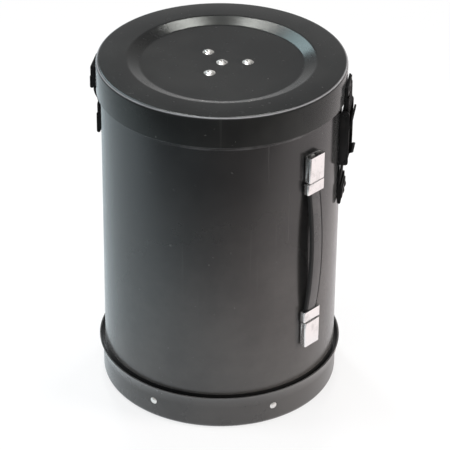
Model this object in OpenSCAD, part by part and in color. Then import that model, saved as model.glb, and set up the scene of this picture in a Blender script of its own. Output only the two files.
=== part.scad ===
// Cylindrical carrying case: rolled tube, riveted base tray, dished lid on a webbing hinge,
// strap with a cam buckle opposite the hinge, and a strap handle on the side.
// The origin is the middle of the base, +Z is up, the buckle is at +X and the hinge at -X.

/* [Tube] */
// Outside diameter of the tube
tube_d = 290; // [260:1:330]
// Wall of the tube
tube_wall = 2.6; // [2:0.1:4]
// Overall height with the lid closed
case_h = 436; // [380:1:520]
// Width of the joint strip inside the back of the tube
seam_w = 36; // [24:1:60]
// Thickness of the joint strip
seam_t = 2; // [1:0.1:3]
// Rivets in the joint
seam_count = 7; // [3:1:12]

/* [Base tray] */
// Wall of the tray
tray_wall = 2.2; // [1.5:0.1:3]
// Thickness of the tray's floor
tray_floor = 3; // [2:0.1:5]
// Height of the tray's lip
tray_h = 47; // [36:1:60]
// Height at which the wall starts to flare
flare_z = 29; // [24:1:34]
// How far the lip stands out from the straight wall
flare_out = 4.6; // [2:0.1:8]
// Rounding of the foot
foot_r = 6; // [4:0.5:9]
// Rivets round the tray
tray_rivet_count = 6; // [3:1:12]
// Angle of the first rivet
tray_rivet_a = 6; // [0:1:59]
// Thickness of the board on the floor
board_t = 4; // [2:0.5:8]

/* [Lid] */
// Wall of the lid
lid_wall = 2.2; // [1.8:0.1:3]
// Gap between the tube and the lid's skirt
lid_gap = 3.1; // [2.8:0.1:4]
// Depth of the skirt
skirt_h = 40; // [30:1:44]
// Rounding of the rim
rim_r = 5; // [3:0.5:8]
// Diameter of the dish at the top
dish_d = 234; // [210:1:256]
// Diameter of the dish's flat floor
dish_floor_d = 194; // [150:1:206]
// Depth of the dish
dish_depth = 6.5; // [5:0.5:10]
// Gap above the tube's edge
lid_rest_gap = 0.4; // [0.3:0.1:1]
// Diameter of the plate under the dish
backing_d = 96; // [84:1:120]
// Thickness of the plate under the dish
backing_t = 2; // [1:0.1:4]
// Radius of the circle of lid rivets
lid_rivet_ring = 31; // [22:1:36]
// Angle of the first lid rivet
lid_rivet_a = 11; // [0:1:119]

/* [Rivets] */
// Head diameter of the small rivets
rivet_head_d = 9; // [7:0.5:11]
// Head height of the small rivets
rivet_head_h = 1.8; // [1:0.1:3]
// Shank diameter of the small rivets
rivet_d = 4; // [3:0.1:5]
// Head diameter of the lid rivets
lid_head_d = 14; // [10:0.5:18]
// Head height of the lid rivets
lid_head_h = 2.2; // [1.5:0.1:4]
// Shank diameter of the lid rivets
lid_rivet_d = 5; // [4:0.1:7]
// Thickness of a rivet's closed tail
tail_t = 0.6; // [0.5:0.1:0.8]
// Clearance round a rivet's shank
rivet_gap = 0.1; // [0.05:0.05:0.3]

/* [Handle] */
// Angle of the handle round the tube
handle_angle = -34; // [-60:1:-20]
// Height of the handle's middle above the middle of the open tube
handle_up = 9.5; // [-10:0.5:15]
// Length of the handle over its caps
handle_l = 264; // [240:1:300]
// Width of a cap
cap_w = 25.5; // [24:0.5:32]
// Length of a cap
cap_l = 33.5; // [32:0.5:40]
// Height of a cap above the tube
cap_h = 10; // [9:0.5:14]
// Sheet of the caps and ferrules
sheet_t = 1.2; // [0.8:0.1:1.6]
// Corner rounding of the caps
cap_r = 2; // [1.5:0.1:3]
// Spacing of the two rivets in a cap
cap_rivet_pitch = 14; // [12:0.5:15]
// Shift of the cap's rivets towards its outer end
cap_rivet_shift = 4; // [3:0.5:5]
// Width of a ferrule
ferrule_w = 28.5; // [26:0.5:34]
// Length of a ferrule
ferrule_l = 14; // [12:0.5:20]
// Height of a ferrule, back to front
ferrule_h = 8; // [7:0.25:9]
// Slit between a cap and its ferrule
slit = 2; // [1.6:0.1:3]
// Distance of the tilting pin inside the cap's mouth
pin_in = 5; // [4:0.5:8]
// Diameter of the tilting pin
pin_d = 3; // [2.5:0.1:4]
// Running clearance of the pins
pin_gap = 0.05; // [0.02:0.01:0.1]
// Width of the grip
grip_w = 20; // [18:0.5:26]
// Thickness of the grip
grip_t = 6; // [5:0.25:7]
// Outward bow of the grip
grip_bow = 6.5; // [3:0.5:8]
// Corner rounding of the grip
grip_r = 2.4; // [1.5:0.1:2.4]
// Gap between the grip and a ferrule
grip_gap = 1.2; // [1:0.1:2]
// Width of the steel strip
core_w = 16; // [12:0.5:17]
// Thickness of the steel strip
core_t = 1.6; // [1:0.1:2]

/* [Webbing] */
// Width of the webbing
web_w = 38; // [30:1:42]
// Thickness of the webbing
web_t = 2.2; // [1.6:0.1:2.6]
// Clearance between webbing and hard faces
web_gap = 0.3; // [0.3:0.05:0.6]
// Thickness of the anchor plates
plate_t = 1.5; // [1:0.1:2.5]
// Height of the anchor plates
plate_h = 12; // [10:0.5:16]
// Spacing of the two rivets in a plate
plate_rivet_pitch = 16; // [12:1:20]
// Distance of the webbing's upper ends below the top of the lid
tab_drop = 17; // [12:0.5:20]
// Height of the lower anchors' doubled webbing
anchor_h = 25.5; // [22:0.5:34]
// Distance of the hinge's doubled lower end below the lid's edge
hinge_drop = 40; // [36:1:50]
// Distance of the closing strap's doubled lower end below the buckle
closing_drop = 30.5; // [24:0.5:40]
// How far the hinge's sewn patch reaches below the lid's edge
double_drop = 6; // [4:0.5:8]

/* [Buckle] */
// Distance of the buckle's bar below the lid's edge
bar_drop = 12.5; // [11:0.5:18]
// Diameter of the bar
bar_d = 4; // [3.5:0.25:4.5]
// Height of the buckle's frame
frame_h = 73; // [64:1:86]
// Distance of the frame's back from the tube
frame_out = 1; // [0.75:0.25:2]
// Depth of the frame
frame_d = 11; // [10.5:0.25:13]
// Wall of the frame
frame_wall = 1.6; // [1.4:0.1:2]
// Clearance between the webbing's edges and the frame
frame_side_gap = 1.5; // [1:0.1:3]
// Height of the cam's pin above the frame's lower end
cam_up = 6; // [5:0.5:9]
// Distance of the cam's pin from the tube
cam_out = 8.7; // [8.5:0.1:9.4]
// Diameter of the cam's pin
cam_pin_d = 3; // [2.5:0.25:3.5]
// Width of the lever
lever_w = 24; // [18:1:34]
// Length of the lever from its pin
lever_l = 9; // [7:0.5:14]
// Lean of the lever away from the tube
lever_lean = 12; // [6:1:20]
// Thickness of the lever
lever_t = 2.5; // [2:0.1:3.5]
// Flare of the lever's tip
tip_flare = 4; // [2:0.5:6]
// How far the strap's free end stands out of the frame
tail_out = 2.5; // [1.5:0.5:6]
// Distance of the strap's free end below the bar
tail_drop = 5.5; // [5:0.5:12]

/* [Hidden] */
$fn = 128;
eps = 0.01;
// Overshoot of a cut past the face that it opens
over = 2;
// Parts of a bend, of a loop and of a pressed rounding
bend_steps = 12;
loop_steps = 24;
press_steps = 8;

black = [0.09, 0.09, 0.1];
web_black = [0.05, 0.05, 0.05];
nickel = [0.8, 0.78, 0.76];
steel_black = [0.07, 0.07, 0.07];

// Tube, tray and lid
tube_r = tube_d / 2;
tube_in_r = tube_r - tube_wall;
fit_gap = 0.2;
tray_in_r = tube_r + fit_gap;
tray_r = tray_in_r + tray_wall;
foot_in_r = foot_r - tray_wall;
tube_z = tray_floor + foot_in_r + fit_gap;
tube_top = case_h - lid_wall - lid_rest_gap;
lid_in_r = tube_r + lid_gap;
lid_r = lid_in_r + lid_wall;
skirt_z = case_h - skirt_h;
dish_z = case_h - dish_depth;
board_r = tray_in_r - foot_in_r - fit_gap;
head_gap = 0.5;
tray_rivet_z = flare_z - rivet_head_d / 2 - head_gap;
seam_gap = 0.1;
seam_in_r = tube_in_r - seam_gap - seam_t;
seam_end_gap = 12;
seam_z0 = tray_h + seam_end_gap;
seam_z1 = skirt_z - seam_end_gap;
seam_pitch = (seam_z1 - seam_z0 - 2 * rivet_head_d) / (seam_count - 1);

// Handle, in a frame whose X points straight out of the tube
handle_z = (tray_h + skirt_z) / 2 + handle_up;
cap_z = handle_l / 2 - cap_l / 2;
cap_mouth = handle_l / 2 - cap_l;
pin_z = cap_mouth + pin_in;
pin_u = sheet_t + (cap_h - sheet_t) / 2 - sheet_t / 2;
ferrule_top = cap_mouth - slit;
ferrule_end = ferrule_top - ferrule_l;
grip_half = ferrule_end - grip_gap;
slot_gap = 0.5;
barrel_d = ferrule_h - 2 * sheet_t - 2 * slot_gap;
core_gap = 0.05;
core_side_gap = 1;
tongue_gap = 2;
tongue_w = cap_w - 2 * sheet_t - 2 * tongue_gap;
barrel_in = 2;
barrel_z = ferrule_end + barrel_d / 2 + barrel_in;
neck_in = 0.2;
washer_t = 1.2;
washer_d = rivet_d * 2.6;
bow_r = (grip_half * grip_half + grip_bow * grip_bow) / (2 * grip_bow);

// Webbing and buckle, in the same kind of frame
lid_out = lid_r - tube_r;
tab_out = lid_out + web_gap;
plate_edge = 2;
plate_gap = 1.5;
plate_z = case_h - tab_drop - plate_h / 2;
tab_top = plate_z + plate_h / 2;
double_z = plate_z - plate_h / 2 - plate_gap;
bar_out = frame_out + frame_d / 2;
bar_z = skirt_z - bar_drop;
frame_z0 = bar_z + frame_d / 2 - frame_h;
frame_in = web_w / 2 + frame_side_gap;
strap_in = frame_out + frame_wall + web_gap;
strap_mid = strap_in + web_t / 2;
cam_z = frame_z0 + cam_up;
cam_reach = cam_out - strap_in - web_t - web_gap;
hub_wall = 1.2;
hub_r = cam_pin_d / 2 + hub_wall;
ridge_angles = [130, 145, 160];
ridge_root = 1.4;
ridge_tip = 0.3;
fold_gap = 0.1;
fold_r = (web_t + fold_gap) / 2;
sewn = 0.05;
patch_t = 2 * web_t;
hem = 1;
anchor_out = web_gap + 2 * web_t + fold_gap;
double_end = skirt_z - double_drop;
hinge_anchor_z = skirt_z - hinge_drop;
hinge_plate_z = hinge_anchor_z + plate_edge + plate_h / 2;
closing_anchor_z = frame_z0 - closing_drop;
closing_plate_z = closing_anchor_z - plate_h;
path_step = 1;
loop_open = 20;
strap_lead = 2;
tail_start = 10;

// How far a curved wall falls away under a rivet's tail that stands beside the middle line
function sag(r, y) = r - sqrt(r * r - y * y);
tail_ratio = 1.7;
tail_d = rivet_d * tail_ratio;
dimple_depth = 0.9;
dimple_d = lid_rivet_d * 0.7;
tube_sag = sag(tube_in_r, plate_rivet_pitch / 2 + tail_d / 2) + rivet_gap;
lid_sag = sag(lid_in_r, plate_rivet_pitch / 2 + tail_d / 2) + rivet_gap;

// A polygon drawn in the upright plane through the axis, as wide as w along Y
module upright(w) {
    rotate([90, 0, 0])
        linear_extrude(height = w, center = true)
            children();
}

// Places a piece in the frame of the tube's surface at angle a
module on_tube(a) {
    rotate([0, 0, a])
        translate([tube_r, 0, 0])
            children();
}

// A round bar along Y at distance u from the tube
module cross_bar(u, z, d, l) {
    translate([u, 0, z])
        rotate([90, 0, 0])
            cylinder(d = d, h = l, center = true);
}

// A rivet along X: its head sits on face u and its tail closes at depth grip behind that face
module rivet(u, grip, head_d, head_h, d) {
    ball = (head_d * head_d / 4 + head_h * head_h) / (2 * head_h);
    translate([u, 0, 0])
        rotate([0, 90, 0]) {
            rotate_extrude()
                intersection() {
                    translate([0, head_h - ball])
                        circle(r = ball);
                    square([head_d, head_h]);
                }
            translate([0, 0, -grip - tail_t])
                cylinder(d = d, h = grip + tail_t + eps);
            translate([0, 0, -grip - tail_t])
                cylinder(d = d * tail_ratio, h = tail_t);
        }
}

// Clearance hole for a rivet along X
module rivet_hole(d, u0, u1) {
    translate([u0, 0, 0])
        rotate([0, 90, 0])
            cylinder(d = d + 2 * rivet_gap, h = u1 - u0);
}

// The two rivet places of an anchor plate at height z
module plate_places(z) {
    for (side = [-1, 1])
        translate([0, side * plate_rivet_pitch / 2, z])
            children();
}

// A strap of thickness t that follows the points of a path in the upright plane
function turn90(v) = [-v[1], v[0]] / norm(v);
function normal_at(p, i) = turn90(p[min(i + 1, len(p) - 1)] - p[max(i - 1, 0)]);
function ribbon(p, t) = concat(
    [for (i = [0 : len(p) - 1]) p[i] + normal_at(p, i) * t / 2],
    [for (i = [len(p) - 1 : -1 : 0]) p[i] - normal_at(p, i) * t / 2]
);

// Points along an arc in the upright plane
function arc_path(u, z, r, a0, a1, n) = [
    for (i = [0 : n])
        [u + r * cos(a0 + (a1 - a0) * i / n), z + r * sin(a0 + (a1 - a0) * i / n)]
];

// Smooth step from (u0, z0) to (u1, z1) in n parts, upright at both ends
function ease(u0, z0, u1, z1, n) = [
    for (i = [0 : n])
        [u0 + (u1 - u0) * (1 - cos(180 * i / n)) / 2, z0 + (z1 - z0) * i / n]
];

// Places of the rivets
module tray_places() {
    for (i = [0 : tray_rivet_count - 1])
        rotate([0, 0, tray_rivet_a + i * 360 / tray_rivet_count])
            translate([0, 0, tray_rivet_z])
                children();
}

module seam_places() {
    for (i = [0 : seam_count - 1])
        rotate([0, 0, 90])
            translate([0, 0, seam_z0 + rivet_head_d + i * seam_pitch])
                children();
}

module lid_places() {
    children();
    for (i = [0 : 2])
        rotate([0, 0, lid_rivet_a + i * 120])
            translate([lid_rivet_ring, 0, 0])
                children();
}

module cap_places() {
    for (end = [-1, 1])
        for (offset = [-1, 1])
            translate([0, 0, handle_z + end * cap_rivet_z(offset)])
                children();
}
function cap_rivet_z(offset) = cap_z + cap_rivet_shift + offset * cap_rivet_pitch / 2;

// Rolled tube of the case
module shell_tube() {
    color(black)
        difference() {
            translate([0, 0, tube_z])
                cylinder(r = tube_r, h = tube_top - tube_z);
            translate([0, 0, tube_z - over])
                cylinder(r = tube_in_r, h = tube_top - tube_z + 2 * over);
            tray_places()
                rivet_hole(rivet_d, tube_in_r - over, tube_r + over);
            seam_places()
                rivet_hole(rivet_d, tube_in_r - over, tube_r + over);
            on_tube(handle_angle)
                cap_places()
                    rivet_hole(rivet_d, -tube_wall - over, over);
            on_tube(180)
                plate_places(hinge_plate_z)
                    rivet_hole(rivet_d, -tube_wall - over, over);
            on_tube(0)
                plate_places(closing_plate_z)
                    rivet_hole(rivet_d, -tube_wall - over, over);
        }
}

// Strip inside the back of the tube that its two edges are riveted to
module seam_strip() {
    half = seam_w / 2 / tube_in_r * 180 / PI;
    color(black)
        difference() {
            rotate([0, 0, 90 - half])
                rotate_extrude(angle = 2 * half)
                    translate([seam_in_r, seam_z0])
                        square([seam_t, seam_z1 - seam_z0]);
            seam_places()
                rivet_hole(rivet_d, seam_in_r - over, tube_r);
        }
}

module seam_rivets() {
    color(nickel)
        seam_places()
            rivet(tube_r, tube_r - seam_in_r + rivet_gap, rivet_head_d, rivet_head_h, rivet_d);
}

// Pressed tray with a rounded foot, a straight wall and a flared lip
module base_tray() {
    flare_h = tray_h - flare_z;
    flare_arc_r = (flare_out * flare_out + flare_h * flare_h) / (2 * flare_out);
    flare_a = asin(flare_h / flare_arc_r);
    flare_in_arc_r = flare_arc_r + tray_wall;
    flare_in_a = asin(flare_h / flare_in_arc_r);
    n = press_steps;
    outside = concat(
        arc_path(tray_r - foot_r, foot_r, foot_r, -90, 0, n),
        [for (i = [0 : n]) flare_point(tray_r, flare_z, flare_arc_r, flare_a * i / n)]
    );
    inside = concat(
        [for (i = [n : -1 : 0]) flare_point(tray_in_r, flare_z, flare_in_arc_r, flare_in_a * i / n)],
        arc_path(tray_in_r - foot_in_r, tray_floor + foot_in_r, foot_in_r, 0, -90, n)
    );
    color(black)
        difference() {
            rotate_extrude()
                polygon(concat([[0, 0]], outside, inside, [[0, tray_floor]]));
            tray_places()
                rivet_hole(rivet_d, tray_in_r - over, tray_r + over);
        }
}
function flare_point(r, z, arc_r, a) = [r + arc_r * (1 - cos(a)), z + arc_r * sin(a)];

module base_rivets() {
    color(nickel)
        tray_places()
            rivet(tray_r, tray_wall + fit_gap + tube_wall + rivet_gap,
                rivet_head_d, rivet_head_h, rivet_d);
}

// Board that carries the load on the tray's floor
module floor_board() {
    color("saddlebrown")
        translate([0, 0, tray_floor])
            cylinder(r = board_r, h = board_t);
}

// Lid with a deep skirt, a rounded rim and a dished top
module lid_pan() {
    rim_in_r = rim_r - lid_wall;
    n = press_steps;
    dish_r = dish_d / 2;
    floor_r = dish_floor_d / 2;
    wall_out = concat(
        [[lid_r, skirt_z]],
        arc_path(lid_r - rim_r, case_h - rim_r, rim_r, 0, 90, n),
        ease_flat(dish_r, case_h, floor_r, dish_z, n),
        [[0, dish_z]]
    );
    wall_in = concat(
        [[0, dish_z - lid_wall]],
        ease_flat(floor_r, dish_z - lid_wall, dish_r, case_h - lid_wall, n),
        arc_path(lid_in_r - rim_in_r, case_h - rim_r, rim_in_r, 90, 0, n),
        [[lid_in_r, skirt_z]]
    );
    color(black)
        difference() {
            rotate_extrude()
                polygon(concat(wall_out, wall_in));
            lid_places()
                translate([0, 0, dish_z - lid_wall - over])
                    cylinder(d = lid_rivet_d + 2 * rivet_gap, h = lid_wall + 2 * over);
            for (a = [0, 180])
                on_tube(a)
                    plate_places(plate_z)
                        rivet_hole(rivet_d, lid_gap - over, lid_out + over);
        }
}
// Smooth step that is level at both ends
function ease_flat(r0, z0, r1, z1, n) = [
    for (i = [0 : n])
        [r0 + (r1 - r0) * i / n, z0 + (z1 - z0) * (1 - cos(180 * i / n)) / 2]
];

// Plate under the dish that the lid rivets draw up
module lid_backing() {
    color("dimgray")
        difference() {
            translate([0, 0, dish_z - lid_wall - backing_t])
                cylinder(d = backing_d, h = backing_t);
            lid_places()
                translate([0, 0, dish_z - lid_wall - backing_t - over])
                    cylinder(d = lid_rivet_d + 2 * rivet_gap, h = backing_t + 2 * over);
        }
}

module lid_rivets() {
    color(nickel)
        lid_places()
            translate([0, 0, dish_z])
                rotate([0, -90, 0])
                    difference() {
                        rivet(0, lid_wall + backing_t, lid_head_d, lid_head_h, lid_rivet_d);
                        translate([lid_head_h - dimple_depth, 0, 0])
                            rotate([0, 90, 0])
                                cylinder(d = dimple_d, h = dimple_depth + over);
                    }
}

// Rivets of the webbing on the lid, at the hinge and at the buckle
module lid_strap_rivets() {
    color(nickel)
        for (layers = [1, 2])
            on_tube((layers - 1) * 180)
                plate_places(plate_z)
                    rivet(strap_face(layers), strap_face(layers) - lid_gap + lid_sag,
                        rivet_head_d, rivet_head_h, rivet_d);
}
// Outer face of a plate on the lid over one or two layers of webbing
function strap_face(layers) = tab_out + layers * web_t + plate_t;

// Formed sheet cap, open at both ends
module cap() {
    difference() {
        translate([0, 0, -cap_l / 2])
            linear_extrude(height = cap_l)
                difference() {
                    rounded_box(0, cap_h, cap_w, cap_r);
                    rounded_box(sheet_t, cap_h - sheet_t, cap_w - 2 * sheet_t, cap_r - sheet_t / 2);
                }
        cross_bar(pin_u, pin_z - cap_z, pin_d + 2 * pin_gap, cap_w + 2 * over);
        for (offset = [-1, 1])
            translate([0, 0, cap_rivet_z(offset) - cap_z])
                rivet_hole(rivet_d, -over, sheet_t + over);
    }
}
// Rectangle with rounded corners from x0 to x1, centred on Y
module rounded_box(x0, x1, w, r) {
    translate([x0 + r, -w / 2])
        square([x1 - x0 - 2 * r, w]);
    translate([x0, r - w / 2])
        square([x1 - x0, w - 2 * r]);
    for (x = [x0 + r, x1 - r])
        for (side = [-1, 1])
            translate([x, side * (w / 2 - r)])
                circle(r = r);
}

module upper_cap() {
    color(nickel)
        on_tube(handle_angle)
            translate([0, 0, handle_z + cap_z])
                cap();
}

module lower_cap() {
    color(nickel)
        on_tube(handle_angle)
            translate([0, 0, handle_z - cap_z])
                mirror([0, 0, 1])
                    cap();
}

// Washers inside the tube behind the caps
module cap_washers() {
    color("dimgray")
        on_tube(handle_angle)
            cap_places()
                translate([-tube_wall - rivet_gap - washer_t, 0, 0])
                    rotate([0, 90, 0])
                        difference() {
                            cylinder(d = washer_d, h = washer_t);
                            translate([0, 0, -over])
                                cylinder(d = rivet_d + 2 * rivet_gap, h = washer_t + 2 * over);
                        }
}

module cap_rivets() {
    color(nickel)
        on_tube(handle_angle)
            cap_places()
                rivet(sheet_t, sheet_t + tube_wall + rivet_gap + washer_t,
                    rivet_head_d, rivet_head_h, rivet_d);
}

// Cross pins on which the ferrules tilt
module handle_pins() {
    color(nickel)
        on_tube(handle_angle)
            for (end = [-1, 1])
                cross_bar(pin_u, handle_z + end * pin_z, pin_d, cap_w);
}

// Plated collar with a tongue that turns on the pin and a slot for the strip's barrel
module ferrule() {
    difference() {
        union() {
            translate([pin_u, 0, ferrule_end])
                linear_extrude(height = ferrule_l)
                    rounded_box(-ferrule_h / 2, ferrule_h / 2, ferrule_w, cap_r);
            translate([pin_u - core_t / 2, -tongue_w / 2, ferrule_top - eps])
                cube([core_t, tongue_w, pin_z - ferrule_top]);
            cross_bar(pin_u, pin_z, pin_d + 2 * sheet_t, tongue_w);
        }
        cross_bar(pin_u, pin_z, pin_d + 2 * pin_gap, cap_w);
        translate([pin_u - barrel_d / 2 - slot_gap, -core_w / 2 - core_side_gap, ferrule_end - over])
            cube([barrel_d + 2 * slot_gap, core_w + 2 * core_side_gap, ferrule_l - 2 * sheet_t + over]);
    }
}

module upper_ferrule() {
    color(nickel)
        on_tube(handle_angle)
            translate([0, 0, handle_z])
                ferrule();
}

module lower_ferrule() {
    color(nickel)
        on_tube(handle_angle)
            translate([0, 0, handle_z])
                mirror([0, 0, 1])
                    ferrule();
}

// A bar of the given section, bowed outwards between the ferrules
module bowed(half) {
    span = asin(half / bow_r);
    translate([pin_u + grip_bow - bow_r, 0, 0])
        rotate([90, 0, 0])
            rotate([0, 0, -span])
                rotate_extrude(angle = 2 * span, $fn = 256)
                    translate([bow_r, 0])
                        children();
}

// Steel strip through the grip, ending in a barrel inside each ferrule
module handle_core() {
    color("gray")
        on_tube(handle_angle)
            translate([0, 0, handle_z]) {
                bowed(grip_half - eps)
                    square([core_t, core_w], center = true);
                for (end = [-1, 1]) {
                    cross_bar(pin_u, end * barrel_z, barrel_d, core_w);
                    translate([pin_u, 0, end * (barrel_z + grip_half - neck_in) / 2])
                        cube([core_t, core_w, barrel_z - grip_half + neck_in], center = true);
                }
            }
}

// Moulded grip round the strip
module handle_grip() {
    color(black)
        on_tube(handle_angle)
            translate([0, 0, handle_z])
                difference() {
                    bowed(grip_half)
                        rounded_box(-grip_t / 2, grip_t / 2, grip_w, grip_r);
                    bowed(grip_half + over)
                        square([core_t + 2 * core_gap, core_w + 2 * core_gap], center = true);
                }
}

// Path up the two layers of a folded lower end: down the outer layer, round the fold, up the inner one
fold_mid = web_gap + web_t + fold_gap / 2;
function fold_path(top, end) = concat(
    [[fold_mid + fold_r, top], [fold_mid + fold_r, top - anchor_h / 2]],
    arc_path(fold_mid, top - anchor_h + fold_r + web_t / 2, fold_r, 0, -180, bend_steps),
    [[fold_mid - fold_r, top - anchor_h / 2], [fold_mid - fold_r, end]]
);

// Webbing hinge: a patch doubles it on the lid and just below the edge, and a fold ends it below
module hinge_strap() {
    flat_top = hinge_plate_z + plate_h / 2 + plate_edge;
    run = concat(
        fold_path(hinge_anchor_z, flat_top - path_step),
        ease(web_gap + web_t / 2, flat_top, tab_out + web_t / 2, double_end, bend_steps),
        [[tab_out + web_t / 2, skirt_z], [tab_out + web_t / 2, tab_top]]
    );
    color(web_black)
        on_tube(180)
            difference() {
                union() {
                    upright(web_w)
                        polygon(ribbon(run, web_t));
                    upright(web_w - 2 * hem)
                        patch_outline();
                }
                plate_places(plate_z)
                    rivet_hole(rivet_d, 0, tab_out + 2 * web_t + over);
                plate_places(hinge_plate_z)
                    rivet_hole(rivet_d, -over, anchor_out + over);
            }
}
// Sewn patch, two layers thick up to the plate and one below the plate, let a little into the strap under it
module patch_outline() {
    u = tab_out + web_t - sewn;
    translate([u, double_end + patch_t])
        square([patch_t, double_z - double_end - patch_t]);
    translate([u, double_z - eps])
        square([web_t, tab_top - double_z + eps]);
    intersection() {
        translate([u, double_end + patch_t])
            circle(r = patch_t);
        translate([u, double_end])
            square([patch_t, patch_t + eps]);
    }
}

// Anchor plate over webbing whose outer face is at distance u
module anchor_plate(u, z) {
    difference() {
        translate([u, 0, z])
            rotate([0, 90, 0])
                linear_extrude(height = plate_t)
                    rounded_box(-plate_h / 2, plate_h / 2, web_w - 2 * hem, cap_r);
        plate_places(z)
            rivet_hole(rivet_d, u - over, u + plate_t + over);
    }
}

module hinge_upper_plate() {
    color(steel_black)
        on_tube(180)
            anchor_plate(tab_out + 2 * web_t, plate_z);
}

module hinge_lower_plate() {
    color(steel_black)
        on_tube(180)
            anchor_plate(web_gap + web_t, hinge_plate_z);
}

module hinge_rivets() {
    face = web_gap + web_t + plate_t;
    color(nickel)
        on_tube(180)
            plate_places(hinge_plate_z)
                rivet(face, face + tube_wall + tube_sag, rivet_head_d, rivet_head_h, rivet_d);
}

// Webbing on the lid, folded down round the buckle's bar and back up beside itself
module buckle_tab() {
    inner = tab_out + web_t / 2;
    outer = inner + web_t + fold_gap;
    loop_mid = bar_d / 2 + web_gap + web_t / 2;
    run = concat(
        [[outer, double_z], [outer, skirt_z], [outer, skirt_z - bar_drop / 3]],
        arc_path(bar_out, bar_z, loop_mid, loop_open, -180 - loop_open, loop_steps),
        [[inner, skirt_z - bar_drop / 3], [inner, skirt_z], [inner, tab_top]]
    );
    color(web_black)
        on_tube(0)
            difference() {
                upright(web_w)
                    polygon(ribbon(run, web_t));
                plate_places(plate_z)
                    rivet_hole(rivet_d, 0, tab_out + 2 * web_t);
            }
}

module buckle_tab_plate() {
    color(steel_black)
        on_tube(0)
            anchor_plate(tab_out + web_t, plate_z);
}

// Channel-shaped frame of the buckle: a back and two side walls
module buckle_frame() {
    color(steel_black)
        on_tube(0)
            difference() {
                union() {
                    translate([frame_out, -frame_in - frame_wall, frame_z0])
                        cube([frame_wall, 2 * (frame_in + frame_wall), 2 * cam_up]);
                    for (side = [-1, 1])
                        translate([0, side * (frame_in + frame_wall / 2), 0])
                            upright(frame_wall)
                                side_outline();
                }
                cross_bar(bar_out, bar_z, bar_d + 2 * pin_gap, 2 * frame_in + 3 * frame_wall);
                cross_bar(cam_out, cam_z, cam_pin_d + 2 * pin_gap, 2 * frame_in + 3 * frame_wall);
            }
}
// Outline of a side wall, round about the bar and with a rounded outer foot
module side_outline() {
    r = frame_d / 3;
    translate([frame_out, frame_z0])
        square([frame_d - r, bar_z - frame_z0]);
    translate([frame_out, frame_z0 + r])
        square([frame_d, bar_z - frame_z0 - r]);
    translate([frame_out + frame_d - r, frame_z0 + r])
        circle(r = r);
    translate([bar_out, bar_z])
        circle(d = frame_d);
}

module buckle_bar() {
    color(steel_black)
        on_tube(0)
            cross_bar(bar_out, bar_z, bar_d, 2 * (frame_in + frame_wall));
}

module cam_pin() {
    color(steel_black)
        on_tube(0)
            cross_bar(cam_out, cam_z, cam_pin_d, 2 * (frame_in + frame_wall));
}

// Lever with a ridged cam on one side of its pin and a flared thumb tip
module cam_lever() {
    tip_a = 90 - lever_lean;
    bend_l = lever_l * 2 / 3;
    color(steel_black)
        on_tube(0)
            upright(lever_w)
                difference() {
                    translate([cam_out, cam_z]) {
                        circle(r = hub_r);
                        for (ridge = ridge_angles)
                            rotate(ridge)
                                polygon([[0, -ridge_root], [cam_reach, -ridge_tip],
                                    [cam_reach, ridge_tip], [0, ridge_root]]);
                        rotate(tip_a)
                            polygon([[0, -hub_r], [bend_l, -hub_r],
                                [lever_l, -hub_r - tip_flare], [lever_l, lever_t - hub_r - tip_flare],
                                [bend_l, lever_t - hub_r], [hub_r, lever_t - hub_r]]);
                    }
                    translate([cam_out, cam_z])
                        circle(d = cam_pin_d + 2 * pin_gap);
                }
}

// Webbing from its folded lower end up through the buckle, with its free end bent outwards
module closing_strap() {
    run = concat(
        fold_path(closing_anchor_z, closing_anchor_z - path_step),
        ease(web_gap + web_t / 2, closing_anchor_z, strap_mid, frame_z0 - strap_lead, bend_steps),
        ease(strap_mid, frame_z0 + 2 * cam_up + tail_start,
            frame_out + frame_d + tail_out, bar_z - tail_drop, bend_steps)
    );
    color(web_black)
        on_tube(0)
            difference() {
                upright(web_w)
                    polygon(ribbon(run, web_t));
                plate_places(closing_plate_z)
                    rivet_hole(rivet_d, -over, anchor_out + over);
            }
}

module closing_plate() {
    color(steel_black)
        on_tube(0)
            anchor_plate(anchor_out, closing_plate_z);
}

module closing_rivets() {
    face = anchor_out + plate_t;
    color(nickel)
        on_tube(0)
            plate_places(closing_plate_z)
                rivet(face, face + tube_wall + tube_sag, rivet_head_d, rivet_head_h, rivet_d);
}

shell_tube();
seam_strip();
seam_rivets();
base_tray();
base_rivets();
floor_board();
lid_pan();
lid_backing();
lid_rivets();
lid_strap_rivets();
upper_cap();
lower_cap();
cap_washers();
cap_rivets();
handle_pins();
upper_ferrule();
lower_ferrule();
handle_core();
handle_grip();
hinge_strap();
hinge_upper_plate();
hinge_lower_plate();
hinge_rivets();
buckle_tab();
buckle_tab_plate();
buckle_frame();
buckle_bar();
cam_pin();
cam_lever();
closing_strap();
closing_plate();
closing_rivets();
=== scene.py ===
from math import asin, cos, pi, radians, sin, tan

import bmesh
import bpy
from mathutils import Matrix, Quaternion, Vector


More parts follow.
